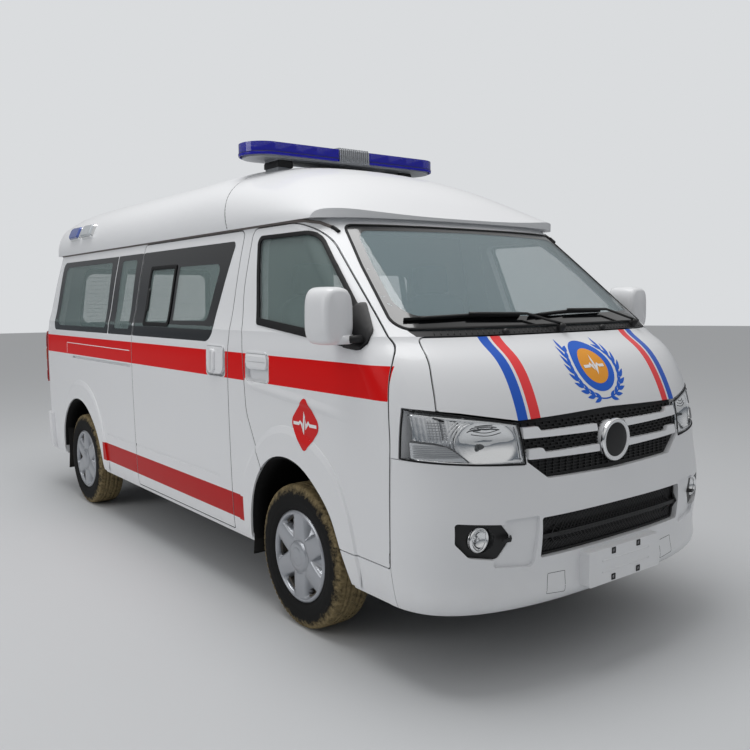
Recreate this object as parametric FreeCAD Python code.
import FreeCAD, Part
import math
import os

# A long-wheelbase, high-roof ambulance van, built at its real size in millimetres.
# While it is drawn, X runs to the vehicle's left, Y runs aft from the front axle and Z up from
# the ground. save() then moves every piece so that Y = 0 is the middle of the overall length.

Vec = FreeCAD.Vector

# Driving dimensions
wheelbase = 3110.0
overall_length = 5320.0
front_overhang = 1180.0
bumper_step = 25.0
tyre_radius = 346.0
tyre_width = 195.0
track = 1635.0
sill_height = 330.0
waist_height = 1410.0
drip_height = 1940.0
roof_rise = 410.0
roof_half_width = 832.0
wall = 78.0
door_thickness = 60.0
panel = 30.0
glass = 6.0
door_gap = 6.0
seal_gap = 0.3
seal_lap = 18.0
running_clearance = 0.05

rear_axle_y = wheelbase
nose_y = -front_overhang
tail_y = overall_length - front_overhang
shift_y = front_overhang - overall_length / 2
wheel_x = track / 2
steer_x = 720.0

os.makedirs("parts", exist_ok=True)


def save(node, shape):
    """Write one piece, moved so that the origin is under the middle of the vehicle."""
    moved = shape.copy()
    moved.translate(Vec(0, shift_y, 0))
    solids = moved.Solids
    whole = solids[0] if len(solids) == 1 else Part.makeCompound(solids)
    whole.exportStep("parts/" + node + ".step")
    print(node, len(solids), "valid" if whole.isValid() else "NOT VALID", round(whole.Volume / 1e6, 2), "litres")


# Small builders of outlines and solids
least_radius = 1.0


def offset_points(points, grow):
    """Move each side of a closed outline outwards; points are (a, b, corner radius)."""
    count = len(points)
    area = sum(points[i - 1][0] * points[i][1] - points[i][0] * points[i - 1][1] for i in range(count))
    side = grow if area > 0 else -grow
    moved = []
    for i in range(count):
        a, b, c = points[i - 1], points[i], points[(i + 1) % count]
        u = Vec(b[0] - a[0], b[1] - a[1], 0).normalize()
        v = Vec(c[0] - b[0], c[1] - b[1], 0).normalize()
        n = Vec(u.y + v.y, -u.x - v.x, 0)
        n = n * (side / (1 + u.dot(v)))
        turn = u.x * v.y - u.y * v.x
        convex = turn * (1 if area > 0 else -1) > 0
        radius = max(b[2] + (grow if convex else -grow), least_radius) if b[2] else 0
        moved.append((b[0] + n.x, b[1] + n.y, radius))
    return moved


def rounded_wire(points, place):
    """Closed outline with a rounded corner at each point; place turns (a, b) into a 3-D point."""
    count = len(points)
    ends = []
    for i in range(count):
        a, b, c = points[i - 1], points[i], points[(i + 1) % count]
        corner = Vec(b[0], b[1], 0)
        u = (Vec(a[0], a[1], 0) - corner).normalize()
        v = (Vec(c[0], c[1], 0) - corner).normalize()
        half = math.acos(max(-1, min(1, u.dot(v)))) / 2
        if b[2] < least_radius or math.pi / 2 - half < 0.01:
            ends.append((corner, None, corner))
            continue
        reach = b[2] / math.tan(half)
        middle = (u + v).normalize() * (b[2] / math.sin(half) - b[2])
        ends.append((corner + u * reach, corner + middle, corner + v * reach))
    edges = []
    for i in range(count):
        start, middle, end = ends[i]
        if middle is not None:
            edges.append(Part.Arc(place(start), place(middle), place(end)).toShape())
        follow = ends[(i + 1) % count][0]
        if (follow - end).Length > 0.01:
            edges.append(Part.LineSegment(place(end), place(follow)).toShape())
    return Part.Wire(edges)


def prism_x(points, x_from, x_to):
    """Side-view outline (y, z, radius) pushed out along X."""
    wire = rounded_wire(points, lambda p: Vec(x_from, p.x, p.y))
    return Part.Face(wire).extrude(Vec(x_to - x_from, 0, 0))


def prism_y(points, y_from, y_to):
    """Front-view outline (x, z, radius) pushed out along Y."""
    wire = rounded_wire(points, lambda p: Vec(p.x, y_from, p.y))
    return Part.Face(wire).extrude(Vec(0, y_to - y_from, 0))


def prism_z(points, z_from, z_to):
    """Plan outline (x, y, radius) pushed up along Z."""
    wire = rounded_wire(points, lambda p: Vec(p.x, p.y, z_from))
    return Part.Face(wire).extrude(Vec(0, 0, z_to - z_from))


def box(x0, x1, y0, y1, z0, z1):
    return Part.makeBox(x1 - x0, y1 - y0, z1 - z0, Vec(x0, y0, z0))


def rod(start, end, radius):
    way = end - start
    return Part.makeCylinder(radius, way.Length, start, way)


def mirrored(shape):
    return shape.mirror(Vec(0, 0, 0), Vec(1, 0, 0))


def both(shape):
    return Part.makeCompound([shape, mirrored(shape)])


def fused(shapes):
    whole = shapes[0].multiFuse(shapes[1:]) if len(shapes) > 1 else shapes[0]
    return whole.removeSplitter()


# The body's outer form: plan outlines at rising heights
# Each row is height, half width, set back from the nose, depth of the rounded nose,
# set in from the tail and depth of the rounded tail.
body_tail = tail_y - bumper_step
lower_rows = [
    (sill_height, 918, 72, 400, 25, 300),
    (430, 932, 48, 410, 10, 300),
    (560, 937, 38, 420, 3, 300),
    (700, 941, 34, 420, 0, 300),
    (840, 944, 58, 420, 1, 300),
    (960, 946, 72, 420, 5, 300),
    (1080, 947, 99, 420, 10, 300),
    (1170, 947, 135, 420, 15, 300),
    (1253, 946, 181, 420, 20, 300),
    (1330, 941, 250, 420, 25, 300),
    (waist_height, 931, 345, 420, 32, 300),
]
upper_rows = [
    lower_rows[-1],
    (1520, 904, 483, 395, 52, 295),
    (1650, 880, 647, 370, 78, 290),
    (1800, 849, 835, 340, 109, 285),
    (drip_height, 817, 1011, 310, 140, 280),
]
roof_rows = [
    (drip_height, roof_half_width + 40, 975, 330, 130, 285),
    (drip_height + roof_rise / 2, roof_half_width + 40, 975, 330, 160, 285),
    (drip_height + roof_rise + 60, roof_half_width + 40, 975, 330, 245, 285),
]
plan_power = 2.8
curve_steps = 16


def superellipse(a, b, power, steps):
    """Points of a half superellipse from (a, 0) over (0, b) to (-a, 0)."""
    points = []
    for i in range(steps + 1):
        t = math.pi * i / steps
        c, s = math.cos(t), math.sin(t)
        x = math.copysign(a * abs(c) ** (2 / power), c)
        points.append((x, b * abs(s) ** (2 / power)))
    points[0] = (a, 0.0)
    points[-1] = (-a, 0.0)
    return points


def smooth_edge(points):
    curve = Part.BSplineCurve()
    curve.interpolate(Points=points)
    return curve.toShape()


def plan_wire(row, inset):
    z, width, nose, nose_depth, tail, tail_depth = row
    w = width - inset
    front = nose_y + nose + nose_depth
    rear = body_tail - tail - tail_depth
    bow = [Vec(x, front - d, z) for x, d in superellipse(w, nose_depth - inset, plan_power, curve_steps)]
    stern = [Vec(-x, rear + d, z) for x, d in superellipse(w, tail_depth - inset, plan_power, curve_steps)]
    edges = [
        smooth_edge(bow),
        Part.LineSegment(bow[-1], stern[0]).toShape(),
        smooth_edge(stern),
        Part.LineSegment(stern[-1], bow[0]).toShape(),
    ]
    return Part.Wire(edges)


def lofted(rows, inset):
    return Part.makeLoft([plan_wire(row, inset) for row in rows], True, False)


form_store = {}


def form(inset):
    """The closed body below the drip rail, shrunk by the inset on every side but top and bottom."""
    if inset not in form_store:
        form_store[inset] = lofted(lower_rows, inset).fuse(lofted(upper_rows, inset))
    return form_store[inset]


def skin(outer, inner):
    if (outer, inner) not in form_store:
        form_store[(outer, inner)] = form(outer).cut(form(inner))
    return form_store[(outer, inner)]


def surface_point(x, z, inset=0):
    """Point of the nose or the windscreen at a height, a distance under the surface."""
    rows = lower_rows if z <= waist_height else upper_rows
    for low, high in zip(rows, rows[1:]):
        if z <= high[0]:
            break
    t = (z - low[0]) / (high[0] - low[0])
    width, nose, depth = (low[k] + (high[k] - low[k]) * t for k in (1, 2, 3))
    share = (1 - min(abs(x) / width, 1) ** plan_power) ** (1 / plan_power)
    return Vec(x, nose_y + nose + depth * (1 - share) + inset, z)


# The high roof: cross-sections at stations along the vehicle
# Each row is station aft of the front axle, height above the drip rail and power of the arch.
roof_stations = [
    (nose_y + 968, 10, 2.2),
    (-100, 86, 2.2),
    (0, 150, 2.2),
    (200, 245, 2.3),
    (400, 310, 2.4),
    (700, 376, 2.5),
    (1000, 406, 2.6),
    (1400, roof_rise, 2.6),
    (3300, roof_rise, 2.6),
    (3600, 402, 2.6),
    (3820, 376, 2.6),
    (4000, 330, 2.6),
    (4200, 250, 2.6),
]
roof_wall = 40.0


def arch_wire(y, half, rise, power):
    points = [Vec(x, y, drip_height + h) for x, h in superellipse(half, rise, power, curve_steps)]
    return Part.Wire([smooth_edge(points), Part.LineSegment(points[-1], points[0]).toShape()])


def roof_form(inset):
    """The high roof, shrunk by the inset; its flat base is at the drip rail."""
    wires = []
    for y, rise, power in roof_stations:
        if rise - inset > 30 or inset <= 0:
            wires.append(arch_wire(y + max(inset, 0) * 1.4, roof_half_width - inset, rise - inset, power))
    arch = Part.makeLoft(wires, True, False)
    return arch.common(lofted(roof_rows, inset))


# Outlines of the panels, each corner with its radius
# Side views hold distance aft of the front axle and height; front views hold X and height.
door_top = drip_height - 13
front_door_outline = [
    (-738, 484, 12), (250, 484, 0), (250, 700, 0), (330, 840, 60), (412, 1000, 200), (442, 1290, 400),
    (512, 1600, 400), (512, door_top, 45), (-42, door_top, 560), (-722, 1345, 150), (-757, 1000, 600),
]
front_window_outline = [(-655, 1350, 45), (325, 1449, 25), (441, 1878, 35), (-66, 1874, 220)]
sliding_door_outline = [(604, 352, 15), (1962, 352, 15), (1962, door_top, 40), (604, door_top, 40)]
sliding_window_outline = [(800, 1341, 90), (1950, 1341, 12), (1950, 1876, 12), (676, 1876, 30), (792, 1480, 300)]
middle_window_outline = [(1975, 1341, 12), (2416, 1341, 12), (2416, 1876, 12), (1975, 1876, 12)]
left_window_outline = [(800, 1341, 90), (1966, 1341, 12), (1966, 1876, 12), (700, 1876, 60)]
rear_window_outline = [(2424, 1341, 12), (3690, 1341, 60), (3672, 1880, 60), (2424, 1876, 12)]
front_arch_points = [
    (-492, 250), (-472, 339), (-402, 479), (-330, 620), (-222, 726), (-108, 796),
    (70, 824), (203, 785), (328, 663), (382, 540), (408, 314), (412, 250),
]
rear_arch_points = [
    (2600, 250), (2625, 400), (2700, 590), (2815, 715), (2950, 795),
    (3100, 822), (3250, 795), (3385, 715), (3490, 590), (3535, 400), (3545, 250),
]
tailgate_outline = [(-745, 700, 60), (745, 700, 60), (735, door_top - 8, 90), (-735, door_top - 8, 90)]
tailgate_window_outline = [(-640, 1330, 60), (640, 1330, 60), (600, 1850, 70), (-600, 1850, 70)]
windscreen_outline = [
    (-832, 1434, 40), (832, 1434, 40), (765, 1715, 400), (704, 1910, 45), (-704, 1910, 45), (-765, 1715, 400),
]
cowl_outline = [(-775, 1408, 4), (775, 1408, 4), (790, 1434, 0), (-790, 1434, 0)]
bonnet_outline = [
    (-836, 1131, 8), (-766, 1122, 60), (-530, 1080, 100), (0, 1093, 800), (530, 1080, 100), (766, 1122, 60),
    (836, 1131, 8), (818, 1250, 400), (766, 1402, 25), (-766, 1402, 25), (-818, 1250, 400),
]
headlamp_outline = [
    (519, 905, 12), (758, 922, 300), (1000, 944, 0), (1000, 1146, 0), (766, 1114, 200), (531, 1071, 12),
]
headlamp_rear = -802.0
grille_outline = [
    (-415, 843, 25), (0, 834, 2000), (415, 843, 25), (516, 918, 0), (528, 1072, 0),
    (0, 1086, 2000), (-528, 1072, 0), (-516, 918, 0),
]
lower_grille_outline = [(-470, 530, 12), (470, 530, 12), (470, 695, 12), (-470, 695, 12)]
fog_outline = [(660, 548, 25), (780, 568, 30), (828, 625, 20), (828, 706, 12), (648, 690, 12), (606, 632, 30)]
front_clear_outline = [
    (-1000, 930, 0), (1000, 930, 0), (1000, 1152, 0), (843, 1131, 0), (825, 1250, 400), (772, 1408, 4),
    (-772, 1408, 4), (-825, 1250, 400), (-843, 1131, 0), (-1000, 1152, 0),
]
bumper_side_outline = [
    (nose_y - 60, 300, 0), (-775, 300, 0), (-744, 484, 0), (-763, 938, 0), (nose_y - 60, 938, 0),
]


def arch_face(points, grow, x_from):
    """Face inside a wheel arch's smooth outline, open downwards; grow widens it."""
    low = points[0][1]
    middle = (points[0][0] + points[-1][0]) / 2
    spread = []
    for i, (y, z) in enumerate(points):
        a = points[max(i - 1, 0)]
        b = points[min(i + 1, len(points) - 1)]
        way = Vec(b[0] - a[0], b[1] - a[1], 0).normalize()
        spread.append(Vec(x_from, y - way.y * grow, z + way.x * grow))
    curve = smooth_edge(spread)
    foot = [spread[-1], Vec(x_from, spread[-1].y, low - 60), Vec(x_from, spread[0].y, low - 60), spread[0]]
    sides = [Part.LineSegment(p, q).toShape() for p, q in zip(foot, foot[1:])]
    return Part.Face(Part.Wire([curve] + sides))


def arch_prism(points, grow, x_from, x_to):
    return arch_face(points, grow, x_from).extrude(Vec(x_to - x_from, 0, 0))


# Doors and their openings, drawn on the left: a thin outer leaf and a smaller, thicker inner one
leaf = 20.0
leaf_step = 14.0
step_room = 5.0


def door_slab(outline, prism):
    outer = skin(0, leaf).common(prism(offset_points(outline, -door_gap / 2)))
    inner = skin(leaf, door_thickness).common(prism(offset_points(outline, -door_gap / 2 - leaf_step)))
    return outer.fuse(inner)


def opening_cut(outline, prism):
    """What a door takes out of the wall: its own space, stepped, and the smaller hole behind it."""
    space = prism(offset_points(outline, door_gap / 2)).cut(form(leaf + seal_gap))
    step = prism(offset_points(outline, door_gap / 2 - leaf_step + step_room)).cut(form(door_thickness + seal_gap))
    hole = prism(offset_points(outline, -door_gap / 2 - leaf_step - seal_lap))
    return [space, step, hole]


def side_prism(outline):
    return prism_x(outline, 500, 1100)


def rear_prism(outline):
    return prism_y(outline, 3600, tail_y + 60)


def front_prism(outline):
    return prism_y(outline, nose_y - 60, -500)


wheelhouse_inner_x = 490.0
rear_wheelhouse_inner_x = 600.0
front_arch = arch_prism(front_arch_points, 0, wheelhouse_inner_x + 14, 1100)
rear_arch = arch_prism(rear_arch_points, 0, rear_wheelhouse_inner_x + 14, 1100)
flare_proud = 10.0
flare_slope = 45.0
front_flare_points = [
    (-530, 400), (-512, 494), (-485, 610), (-442, 711), (-385, 805), (-299, 885), (-180, 945), (-60, 975),
    (52, 982), (180, 950), (320, 855), (429, 731), (485, 620), (511, 526), (520, 400),
]
rear_flare_points = [
    (2520, 400), (2560, 580), (2608, 709), (2710, 850), (2860, 945), (3000, 975), (3120, 970),
    (3260, 925), (3413, 800), (3510, 650), (3560, 500), (3580, 400),
]


def flare(points, arch):
    """The raised lip round a wheel arch; its outer edge slopes down to the body side."""
    ends = []
    for x, grow in ((932, 4), (948, -10), (956, -flare_slope)):
        ends.append(arch_face(points, grow, x).OuterWire)
    hump = Part.makeLoft(ends, True, True)
    return hump.common(form(-flare_proud)).common(box(900, 1000, -800, 4000, 340, 1100)).cut(arch)


front_flare = flare(front_flare_points, front_arch)
rear_flare = flare(rear_flare_points, rear_arch)
groove_depth = 3.0
groove_outline = [(740, 612, 6), (2500, 612, 6), (2500, 628, 6), (740, 628, 6)]
side_groove = skin(-1, groove_depth).common(prism_x(groove_outline, 500, 1100))
rail_slot_low = 1132.0
rail_slot_high = 1150.0


# Body shell with its openings
def body_shell():
    left_cuts = opening_cut(front_door_outline, side_prism)
    left_cuts += [side_prism(middle_window_outline), side_prism(rear_window_outline), front_arch, rear_arch]
    right_cuts = left_cuts + opening_cut(sliding_door_outline, side_prism)
    cuts = left_cuts + [mirrored(cut) for cut in right_cuts] + opening_cut(tailgate_outline, rear_prism)
    cuts += [
        side_prism(left_window_outline),
        prism_y(windscreen_outline, nose_y, 300),
        front_prism(cowl_outline),
        prism_y(front_clear_outline, nose_y - 100, headlamp_rear + 3),
        front_prism(offset_points(bonnet_outline, door_gap)),
        prism_x(offset_points(bumper_side_outline, 3), -1100, 1100),
        box(-980, -930, 1990, 3200, rail_slot_low, rail_slot_high),
    ]
    humps = [front_flare, rear_flare, mirrored(front_flare), mirrored(rear_flare)]
    return skin(0, wall).fuse(humps).cut(cuts + [side_groove, mirrored(side_groove)])


# Fixed glass of the sides; each pane fills its opening at the outer face
def side_glass():
    left = [middle_window_outline, rear_window_outline, left_window_outline]
    right = [middle_window_outline, rear_window_outline, sliding_window_outline]
    pane = skin(1, 1 + glass)
    panes = [pane.common(side_prism(outline)) for outline in left]
    panes += [mirrored(pane.common(side_prism(outline))) for outline in right]
    return Part.makeCompound(panes)


def windscreen():
    return skin(1, 1 + glass).common(prism_y(windscreen_outline, nose_y, 300))


cowl_inset = 5.0


def cowl():
    return skin(cowl_inset, 45).common(front_prism(cowl_outline))


def bonnet():
    return skin(0, panel).common(front_prism(bonnet_outline))


# Front end
plate_half_width = 246.0
plate_low = 369.0
plate_high = 518.0
plate_hole_x = 86.0
plate_hole_low = 388.0
plate_hole_high = 501.0
plate_hole_radius = 6.0
scoop_depth = 16.0
scoop_outline = [(482, 706, 10), (500, 500, 20), (690, 520, 20), (640, 706, 10)]


def front_bumper():
    bumper = skin(0, 50).common(prism_x(bumper_side_outline, -1100, 1100))
    lamp = prism_y(headlamp_outline, nose_y - 60, headlamp_rear)
    fog = front_prism(fog_outline)
    cuts = [lamp, mirrored(lamp), fog, mirrored(fog), front_prism(grille_outline), front_prism(lower_grille_outline)]
    pad_outline = [
        (-plate_half_width, plate_low, 12), (plate_half_width, plate_low, 12),
        (plate_half_width, plate_high, 12), (-plate_half_width, plate_high, 12),
    ]
    pad = prism_y(pad_outline, nose_y, nose_y + 80).cut(form(40))
    holes = []
    for x in (-plate_hole_x, plate_hole_x):
        for z in (plate_hole_low, plate_hole_high):
            holes.append(rod(Vec(x, nose_y - 5, z), Vec(x, nose_y + 100, z), plate_hole_radius))
    scoop = skin(-1, scoop_depth).common(front_prism(scoop_outline))
    cuts += [scoop, mirrored(scoop)]
    return bumper.cut(cuts).fuse(pad).cut(holes)


def headlamps():
    return both(skin(1, 60).common(prism_y(headlamp_outline, nose_y - 60, headlamp_rear)))


fog_inset = 20.0
fog_x = 725.0
fog_height = 632.0
fog_radius = 44.0
fog_ring = 8.0


def fog_lamps():
    """Bezels set back in the bumper, each with a round lamp and its bowl."""
    bezel = skin(fog_inset, 50).common(front_prism(fog_outline))
    centre = surface_point(fog_x, fog_height, fog_inset + 8)
    ahead = Vec(0, -1, 0)
    lamp = rod(centre - ahead * 45, centre, fog_radius + fog_ring)
    well = rod(centre, centre + ahead * 100, fog_radius + fog_ring)
    bowl = rod(centre - ahead * 25, centre + ahead, fog_radius)
    return both(bezel.fuse(lamp).cut([well, bowl]))


ring_height = 955.0
ring_radius = 92.0
ring_tube = 10.0
bar_outlines = [
    [(-520, 1008, 4), (-96, 1000, 4), (-96, 1030, 4), (-425, 1030, 10), (-440, 1050, 10), (-516, 1050, 4)],
    [(-505, 925, 4), (-96, 915, 4), (-96, 945, 4), (-415, 945, 10), (-430, 965, 10), (-500, 965, 4)],
]


def grilles():
    upper = skin(26, 46).common(front_prism(grille_outline))
    bar_outline = [(-480, 604, 0), (480, 604, 0), (480, 622, 0), (-480, 622, 0)]
    lower = skin(30, 50).fuse(skin(12, 30).common(front_prism(bar_outline)))
    return Part.makeCompound([upper, lower.common(front_prism(lower_grille_outline))])


def grille_bars():
    """Two stepped bars a side and the ring of the badge, which is a plain dish."""
    bars = [skin(2, 26).common(front_prism(outline)) for outline in bar_outlines]
    front = surface_point(0, ring_height).y - 14
    disc = rod(Vec(0, front + 6, ring_height), Vec(0, front + 60, ring_height), ring_radius - ring_tube)
    tube = Part.makeTorus(ring_radius - ring_tube, ring_tube, Vec(0, front + 6, ring_height), Vec(0, 1, 0))
    ring = fused([disc, tube]).cut(form(26))
    behind_ring = rod(Vec(0, -1300, ring_height), Vec(0, -900, ring_height), ring_radius - 4)
    bars = [bar.cut(behind_ring) for bar in bars]
    return Part.makeCompound(bars + [mirrored(bar) for bar in bars] + [ring])


# Doors
handle_depth = 24.0
handle_proud = 6.0
paddle_gap = 12.0
front_handle_outline = [(177, 1165, 40), (405, 1159, 40), (411, 1303, 40), (190, 1303, 40)]
sliding_handle_outline = [(640, 1160, 40), (850, 1160, 40), (855, 1323, 40), (634, 1318, 40)]
tailgate_handle_outline = [(-130, 780, 30), (130, 780, 30), (130, 880, 30), (-130, 880, 30)]


def with_handle(door, outline, prism):
    """Cut a pocket in a door's leaf and hang a paddle over its upper half."""
    low, high = min(p[1] for p in outline), max(p[1] for p in outline)
    middle = (low + high) / 2
    upper = []
    for a, b, r in offset_points(outline, -paddle_gap):
        upper.append((a, middle if b < middle else b + paddle_gap + 8, r / 2))
    pocket = skin(-1, handle_depth).common(prism(outline))
    paddle = skin(-handle_proud, 12).common(prism(upper))
    return door.cut(pocket).fuse(paddle)


def front_door():
    """Left front door with its window hole and the edge that it gives the wheel arch."""
    slab = door_slab(front_door_outline, side_prism)
    slab = slab.fuse(front_flare.common(side_prism(offset_points(front_door_outline, -door_gap / 2))))
    slab = slab.cut([side_prism(front_window_outline), front_arch])
    return with_handle(slab, front_handle_outline, side_prism)


def front_door_glass():
    return skin(10, 10 + glass).common(side_prism(front_window_outline))


mirror_low = 1374.0
mirror_high = 1616.0
mirror_inner_x = 953.0
mirror_outer_x = 1090.0
mirror_front = -528.0
mirror_rear = -368.0


def door_mirror():
    outline = [
        (mirror_inner_x, mirror_low, 50), (mirror_outer_x, mirror_low, 60),
        (mirror_outer_x, mirror_high, 62), (mirror_inner_x, mirror_high, 55),
    ]
    stations = [
        (mirror_front, 40), (mirror_front + 6, 26), (mirror_front + 22, 11), (mirror_front + 50, 2),
        (mirror_front + 85, 0), (mirror_rear - 8, 0), (mirror_rear, 6),
    ]
    wires = []
    for y, shrink in stations:
        points = offset_points(outline, -shrink)
        wires.append(rounded_wire(points, lambda p: Vec(p.x, y, p.y)))
    housing = Part.makeLoft(wires, True, True)
    sail_outline = [(-640, 1352, 30), (-440, 1374, 20), (-500, 1545, 15)]
    sail = form(-12).cut(form(-seal_gap)).common(side_prism(sail_outline))
    arm = box(880, mirror_inner_x + 40, -600, mirror_front + 80, 1385, 1425).cut(form(-6))
    return fused([housing, sail, arm])


def sliding_door():
    slab = door_slab(sliding_door_outline, side_prism).cut([side_prism(sliding_window_outline), side_groove])
    return mirrored(with_handle(slab, sliding_handle_outline, side_prism))


def tailgate():
    slab = door_slab(tailgate_outline, rear_prism).cut(rear_prism(tailgate_window_outline))
    return with_handle(slab, tailgate_handle_outline, rear_prism)


def tailgate_glass():
    return skin(1, 1 + glass).common(rear_prism(tailgate_window_outline))


def rear_bumper():
    shape = form(-bumper_step).cut(form(-seal_gap))
    return shape.common(box(-1200, 1200, 3790, 4400, 352, 640))


def tail_lamps():
    outline = [(800, 900, 10), (1000, 900, 0), (1000, 1320, 0), (800, 1320, 10)]
    return both(form(-12).cut(form(-seal_gap)).common(prism_y(outline, 3880, 4300)))


# Roof
roof_seam_low = 779.0
roof_seam_high = 1010.0
seam_gap = 5.0


def roof_pieces():
    shell = roof_form(0).cut(roof_form(roof_wall))
    front_side = [
        (-900, drip_height - 10, 0), (roof_seam_low, drip_height - 10, 0),
        (roof_seam_high, 2460, 0), (-900, 2460, 0),
    ]
    rear_side = [
        (roof_seam_low + seam_gap, drip_height - 10, 0), (4500, drip_height - 10, 0),
        (4500, 2460, 0), (roof_seam_high + seam_gap, 2460, 0),
    ]
    return shell.common(prism_x(front_side, -1100, 1100)), shell.common(prism_x(rear_side, -1100, 1100))


lightbar_y = 893.0
lightbar_half_length = 674.0
lightbar_half_width = 138.0
lightbar_base_low = 2358.0
lightbar_base_high = 2382.0
lightbar_top = 2436.0
speaker_top = 2446.0
rib_pitch = 20.0


def capsule(half_length, half_width, z_from, z_to):
    r = half_width - 5
    points = [
        (-half_length, lightbar_y - half_width, r), (half_length, lightbar_y - half_width, r),
        (half_length, lightbar_y + half_width, r), (-half_length, lightbar_y + half_width, r),
    ]
    return prism_z(points, z_from, z_to)


def lightbar_base():
    base = capsule(lightbar_half_length - 20, lightbar_half_width - 12, lightbar_base_low, lightbar_base_high)
    foot = box(395, 485, lightbar_y - 70, lightbar_y + 70, drip_height, lightbar_base_low + 1).cut(roof_form(0))
    half = lightbar_half_width - 8
    pieces = [base, foot, mirrored(foot)]
    pieces.append(box(-110, 110, lightbar_y - half, lightbar_y + half, lightbar_base_high - 1, speaker_top - 5))
    for k in range(11):
        x = (k - 5) * rib_pitch
        pieces.append(box(x - 5, x + 5, lightbar_y - half - 5, lightbar_y + half + 5, lightbar_base_high - 1, speaker_top))
    return fused(pieces)


def lightbar_lens():
    lens = capsule(lightbar_half_length, lightbar_half_width, lightbar_base_high, lightbar_top)
    gap = box(-112, 112, lightbar_y - 300, lightbar_y + 300, 2300, 2500)
    return lens.cut(gap)


def side_strobes():
    """Two square lamps a side, standing out from the high roof."""
    shell = roof_form(-26).cut(roof_form(-seal_gap))
    lamps = []
    for y in (2950, 3260):
        outline = [(y, 2052, 14), (y + 240, 2052, 14), (y + 240, 2172, 14), (y, 2172, 14)]
        lamp = shell.common(prism_x(outline, 400, 1100))
        lamps += [lamp, mirrored(lamp)]
    return Part.makeCompound(lamps)


# Floor, wheel housings and bulkheads
floor_low = 600.0
floor_high = 625.0
riser_top = 900.0
engine_half_width = 300.0
liner = 14.0


def floor_pan():
    inside = form(wall + seal_gap)
    floor = box(-1000, 1000, -720, 4200, floor_low, floor_high)
    riser = box(-1000, 1000, -440, 540, floor_low, riser_top).cut(box(-960, 960, -415, 515, 0, riser_top - 25))
    bulkhead = box(-1000, 1000, -722, -700, floor_low, waist_height - 8)
    hinge_seat = box(560, 620, -1000, -700, 1260, 1310).common(form(panel + seal_gap))
    arm_slot = box(wheelhouse_inner_x - 10, wheelhouse_inner_x + 40, -110, 110, 480, 540)
    pan = fused([floor, riser, bulkhead])
    pan = pan.cut(box(-wheelhouse_inner_x, wheelhouse_inner_x, -415, 515, 0, riser_top - 25))
    front_liner = arch_prism(front_arch_points, liner * 2, wheelhouse_inner_x, 1100)
    rear_liner = arch_prism(rear_arch_points, liner * 2, rear_wheelhouse_inner_x, 1100)
    front_space = arch_prism(front_arch_points, liner, wheelhouse_inner_x + liner, 1100)
    rear_space = arch_prism(rear_arch_points, liner, rear_wheelhouse_inner_x + liner, 1100)
    pan = fused([pan, front_liner, mirrored(front_liner), rear_liner, mirrored(rear_liner)])
    for space in (front_space, rear_space, arm_slot):
        pan = pan.cut([space, mirrored(space)])
    pan = pan.common(box(-1000, 1000, -3000, 6000, 420, 2000)).common(inside)
    return fused([pan, hinge_seat, mirrored(hinge_seat)])


# Chassis and running gear
rail_inner = 390.0
rail_outer = 455.0
rail_low = 445.0
axle_radius = 42.0
spindle_radius = 24.0
spindle_end = wheel_x + 20
rear_backplate_x = 690.0


def chassis_frame():
    rail = box(rail_inner, rail_outer, -1040, 3960, rail_low, floor_low)
    rails = [rail, mirrored(rail)]
    cross = [box(-rail_inner, rail_inner, y, y + 60, rail_low + 20, floor_low - 20) for y in (560, 1100, 2150, 3900)]
    front_bar = box(-620, 620, -1200, -1015, rail_low, rail_low + 40).common(form(50 + seal_gap))
    return fused(rails + cross + [front_bar])


def suspension_arms():
    """Front cross member with a lower and an upper arm each side, ending at the kingpins."""
    member = box(-rail_inner, rail_inner, -90, 90, 300, rail_low - 60)
    hangers = [box(300, rail_outer, -90, 90, 300, rail_low)]
    lower_outline = [
        (rail_inner - 20, -130, 0), (steer_x + 25, -28, 20), (steer_x + 25, 28, 20), (rail_inner - 20, 130, 0),
    ]
    lower = prism_z(lower_outline, 170, 200)
    link = box(rail_inner - 20, rail_outer, -60, 60, 170, 302)
    upper_outline = [(rail_outer, -90, 0), (steer_x + 20, -28, 20), (steer_x + 20, 28, 20), (rail_outer, 90, 0)]
    upper = prism_z(upper_outline, 500, 520)
    side = hangers + [lower, link, upper]
    return fused([member] + side + [mirrored(s) for s in side])


def knuckle():
    upright = box(steer_x - 30, steer_x + 18, -26, 26, 200 + seal_gap, 500 - seal_gap)
    plate = rod(Vec(steer_x + 18, 0, tyre_radius), Vec(steer_x + 26, 0, tyre_radius), 130)
    spindle = rod(Vec(steer_x, 0, tyre_radius), Vec(spindle_end, 0, tyre_radius), spindle_radius)
    return fused([upright, plate, spindle])


spring_top = tyre_radius + axle_radius + 16


def rear_axle():
    centre = Vec(0, rear_axle_y, tyre_radius)
    side = Vec(1, 0, 0)
    tube = rod(centre - side * rear_backplate_x, centre + side * rear_backplate_x, axle_radius)
    spindle = rod(centre - side * spindle_end, centre + side * spindle_end, spindle_radius)
    outline = [(-150, 0), (-150, 50), (-90, 122), (90, 122), (150, 50), (150, 0), (-150, 0)]
    half_section = Part.Face(Part.makePolygon([centre + Vec(a, 0, b) for a, b in outline]))
    case = half_section.revolve(centre, side, 360)
    shaft = rod(Vec(0, 570, 430), Vec(0, rear_axle_y - 60, 430), 28)
    parts = [tube, spindle, case, shaft]
    for way in (side, side * -1):
        parts.append(rod(centre + way * (rear_backplate_x - 8), centre + way * rear_backplate_x, 130))
    for x in (-560, 500):
        for half_length, top in ((620, spring_top), (300, spring_top + 24)):
            parts.append(box(x, x + 60, rear_axle_y - half_length, rear_axle_y + half_length, spring_top - 20, top))
        for y in (rear_axle_y - 620, rear_axle_y + 570):
            parts.append(box(x, x + 60, y, y + 50, spring_top - 16, floor_low))
    return fused(parts)


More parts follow.
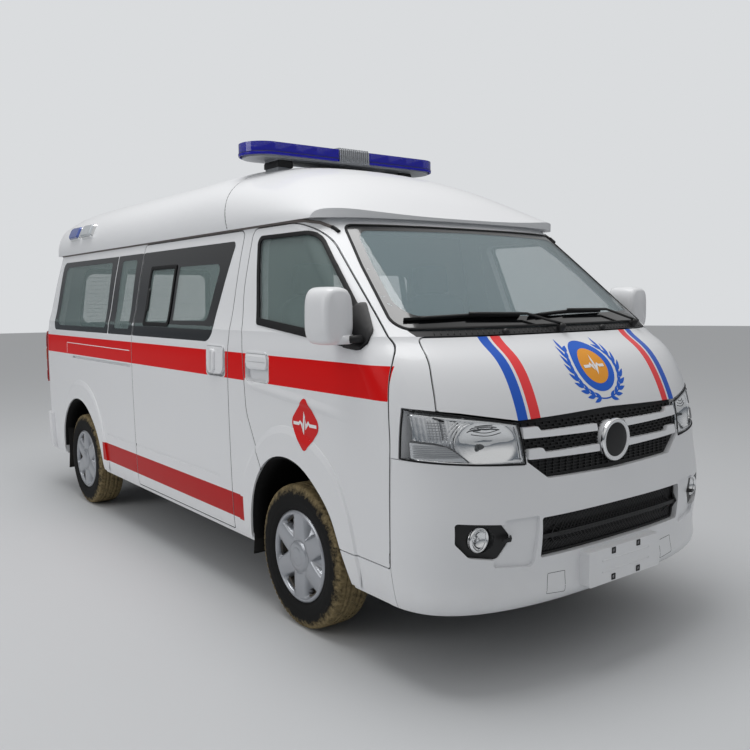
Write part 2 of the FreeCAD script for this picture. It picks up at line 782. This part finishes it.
bead_x = 80.0
bead_radius = 193.0
flange_radius = 204.0
flange_width = 6.0
window_outline = [(-18, 94, 10), (18, 94, 10), (44, 156, 16), (-44, 156, 16)]


def wheel_rim():
    """Rim with drum, hub and six-window cover of a left wheel, its centre at Y = Z = 0."""
    x = wheel_x
    profile = [
        (x - bead_x, bead_radius), (x + bead_x, bead_radius), (x + bead_x, flange_radius),
        (x + bead_x + flange_width, flange_radius), (x + bead_x + flange_width, 184), (x + 60, 178),
        (x + 42, 150), (x + 42, 60), (x + 30, 40), (x - 20, 40), (x - 20, 60), (x + 30, 80),
        (x + 30, 150), (x + 48, 186), (x - bead_x, 186),
    ]
    wire = Part.makePolygon([Vec(a, 0, b) for a, b in profile + profile[:1]])
    barrel = Part.Face(wire).revolve(Vec(0, 0, 0), Vec(1, 0, 0), 360)
    hub = rod(Vec(x - 20, 0, 0), Vec(x + 52, 0, 0), 62)
    drum = rod(Vec(x - 46, 0, 0), Vec(x - 4, 0, 0), 140).cut(rod(Vec(x - 60, 0, 0), Vec(x - 30, 0, 0), 128))
    cover = rod(Vec(x + 74, 0, 0), Vec(x + bead_x, 0, 0), 181)
    cap = Part.makeCone(54, 46, 12, Vec(x + bead_x, 0, 0), Vec(1, 0, 0)).fuse(
        rod(Vec(x + 50, 0, 0), Vec(x + bead_x + 1, 0, 0), 54))
    window = prism_x(window_outline, x + 62, x + 102)
    windows = []
    for k in range(6):
        turned = window.copy()
        turned.rotate(Vec(0, 0, 0), Vec(1, 0, 0), 60 * k)
        windows.append(turned)
    bore = rod(Vec(x - 100, 0, 0), Vec(spindle_end + running_clearance, 0, 0), spindle_radius + running_clearance)
    return fused([barrel, hub, drum, cap, cover]).cut(windows + [bore])


def tyre():
    """Tyre of a left wheel; its bead wraps the rim's flange."""
    x = wheel_x
    h = tyre_width / 2
    lip = flange_radius + seal_gap
    outline = [
        (x - bead_x, bead_radius, 0), (x - h, 222, 22), (x - h, 300, 60), (x - 84, 341, 24),
        (x - 60, tyre_radius, 10), (x + 60, tyre_radius, 10), (x + 84, 341, 24), (x + h, 300, 60),
        (x + h, 222, 22), (x + bead_x + flange_width, lip, 0), (x + bead_x - seal_gap, lip, 0),
        (x + bead_x - seal_gap, bead_radius, 0),
    ]
    wire = rounded_wire(outline, lambda p: Vec(p.x, 0, p.y))
    return Part.Face(wire).revolve(Vec(0, 0, 0), Vec(1, 0, 0), 360)


def wheel_pieces(name, side, y):
    for node, shape in ((name + "_rim", wheel_rim()), (name + "_tyre", tyre())):
        placed = shape.copy()
        placed.translate(Vec(0, y, tyre_radius))
        save(node, mirrored(placed) if side < 0 else placed)


def engine():
    block = box(-230, 230, -330, 380, 410, 860)
    box_end = box(-110, 110, 380, 555, 400, 560)
    mounts = [box(-rail_inner, rail_inner, y, y + 60, 450, 480) for y in (-250, 250)]
    return fused([block, box_end] + mounts)


exhaust_x = -200.0
exhaust_height = 415.0
pipe_radius = 24.0
silencer_radius = 78.0


def exhaust():
    pipe = rod(Vec(exhaust_x, 385, exhaust_height), Vec(exhaust_x, 2650, exhaust_height), pipe_radius)
    silencer = rod(Vec(exhaust_x, 1280, exhaust_height), Vec(exhaust_x, 1800, exhaust_height), silencer_radius)
    hangers = [box(exhaust_x - 10, exhaust_x + 10, y, y + 20, exhaust_height, floor_low) for y in (1400, 1700, 2600)]
    return fused([pipe, silencer] + hangers)


def fuel_tank():
    return prism_x([(1250, 380, 30), (2080, 380, 30), (2080, floor_low, 0), (1250, floor_low, 0)], 90, rail_inner)


# Cab and cabin fittings
wheel_tilt = math.radians(35)
steering_centre = Vec(380, -300, 1290)
steering_axis = Vec(0, math.sin(wheel_tilt), math.cos(wheel_tilt))
steering_ring_radius = 190.0
column_radius = 26.0
shaft_radius = 10.0


def dashboard():
    outline = [(-700, 980, 0), (-470, 980, 40), (-440, 1200, 60), (-440, 1322, 30), (-700, 1335, 0)]
    dash = prism_x(outline, -900, 900).common(form(wall + 12))
    start = steering_centre - steering_axis * 40
    column = rod(steering_centre - steering_axis * 330, start, column_radius)
    shaft = rod(start, steering_centre + steering_axis * 10, shaft_radius)
    return fused([dash, column, shaft])


def steering_wheel():
    ring = Part.makeTorus(steering_ring_radius, 14, steering_centre, steering_axis)
    hub = rod(steering_centre - steering_axis * 34, steering_centre + steering_axis * 16, 44)
    side = Vec(1, 0, 0)
    down = steering_axis.cross(side)
    spokes = []
    for way in (side, side * -1, down * -1 if down.z > 0 else down):
        spokes.append(rod(steering_centre + way * 30, steering_centre + way * steering_ring_radius, 11))
    end = steering_centre + steering_axis * (10 + running_clearance)
    bore = rod(steering_centre - steering_axis * 60, end, shaft_radius + running_clearance)
    return fused([ring, hub] + spokes).cut(bore)


def seat(x):
    cushion = [(-40, riser_top, 20), (440, riser_top, 20), (450, 1050, 50), (-60, 1060, 60)]
    back = [(360, 1000, 30), (500, 1000, 30), (600, 1590, 50), (500, 1600, 50)]
    rest = [(505, 1580, 10), (590, 1580, 10), (615, 1760, 40), (525, 1770, 40)]
    widths = ((cushion, 240), (back, 230), (rest, 130))
    return fused([prism_x(outline, x - half, x + half) for outline, half in widths])


def front_seats():
    return Part.makeCompound([seat(430), seat(-430)])


def partition():
    wall_plate = box(-1000, 1000, 640, 662, floor_high, drip_height).common(form(wall + seal_gap))
    return wall_plate.cut(prism_y([(-320, 1250, 40), (320, 1250, 40), (320, 1700, 40), (-320, 1700, 40)], 600, 700))


def cabin_bench():
    base = prism_y([(440, floor_high, 0), (850, floor_high, 0), (850, 1020, 20), (440, 1020, 20)], 760, 2540)
    pad = prism_y([(430, 1019, 20), (850, 1019, 0), (850, 1090, 20), (430, 1090, 30)], 760, 2540)
    back = prism_y([(790, 1080, 10), (852, 1080, 0), (846, 1330, 20), (790, 1330, 20)], 760, 2540)
    return fused([base, pad, back]).common(form(wall + seal_gap))


def wiper(x_pivot, x_tip):
    """Arm and blade lying along the foot of the windscreen."""
    foot = surface_point(x_pivot, 1421, 12)
    pivot = surface_point(x_pivot, 1421, -22)
    elbow = surface_point(x_pivot - 60, 1452, -18)
    tip = surface_point(x_tip, 1456, -16)
    middle = surface_point((x_pivot + x_tip) / 2, 1462, -18)
    rods = [rod(foot, pivot, 9), rod(pivot, elbow, 6), rod(elbow, middle, 6), rod(middle, tip, 5)]
    return fused(rods).cut(form(cowl_inset - seal_gap))


def wipers():
    return Part.makeCompound([wiper(-160, -700), wiper(480, -60)])


flap_outer_x = 835.0
flap_thickness = 8.0
flap_low = 240.0


def mud_flap(arch_points, top):
    """Rubber flap that follows the rear of a wheel-housing liner."""
    x0, x1 = steer_x + 5, flap_outer_x
    outer = arch_prism(arch_points, liner - seal_gap, x0, x1)
    inner = arch_prism(arch_points, liner - seal_gap - flap_thickness, x0, x1)
    middle = arch_points[-2][0] - 100
    return outer.cut(inner).common(box(x0, x1, middle, middle + 200, flap_low, top))


def mud_flaps():
    front = mud_flap(front_arch_points, 470)
    rear = mud_flap(rear_arch_points, 470)
    return Part.makeCompound([front, mirrored(front), rear, mirrored(rear)])


front_cap, rear_roof = roof_pieces()
save("body_shell", body_shell())
save("floor_pan", floor_pan())
save("roof_front_cap", front_cap)
save("roof_rear", rear_roof)
save("front_bumper", front_bumper())
save("rear_bumper", rear_bumper())
save("grilles", grilles())
save("grille_bars", grille_bars())
save("cowl", cowl())
save("windscreen", windscreen())
save("side_glass", side_glass())
save("sliding_door", sliding_door())
save("bonnet", bonnet())
save("tailgate", tailgate())
save("tailgate_glass", tailgate_glass())
save("headlamps", headlamps())
save("fog_lamps", fog_lamps())
save("tail_lamps", tail_lamps())
save("side_strobes", side_strobes())
save("lightbar_base", lightbar_base())
save("lightbar_lens", lightbar_lens())
save("wipers", wipers())
save("mud_flaps", mud_flaps())
save("dashboard", dashboard())
save("steering_wheel", steering_wheel())
save("front_seats", front_seats())
save("partition", partition())
save("cabin_bench", cabin_bench())
save("chassis_frame", chassis_frame())
save("suspension_arms", suspension_arms())
save("rear_axle", rear_axle())
save("engine", engine())
save("exhaust", exhaust())
save("fuel_tank", fuel_tank())
for name, side in (("left", 1), ("right", -1)):
    for node, shape in (
        ("front_door", front_door()), ("front_door_glass", front_door_glass()),
        ("mirror", door_mirror()), ("knuckle", knuckle()),
    ):
        save(name + "_" + node, mirrored(shape) if side < 0 else shape)
    wheel_pieces(name + "_front_wheel", side, 0)
    wheel_pieces(name + "_rear_wheel", side, rear_axle_y)
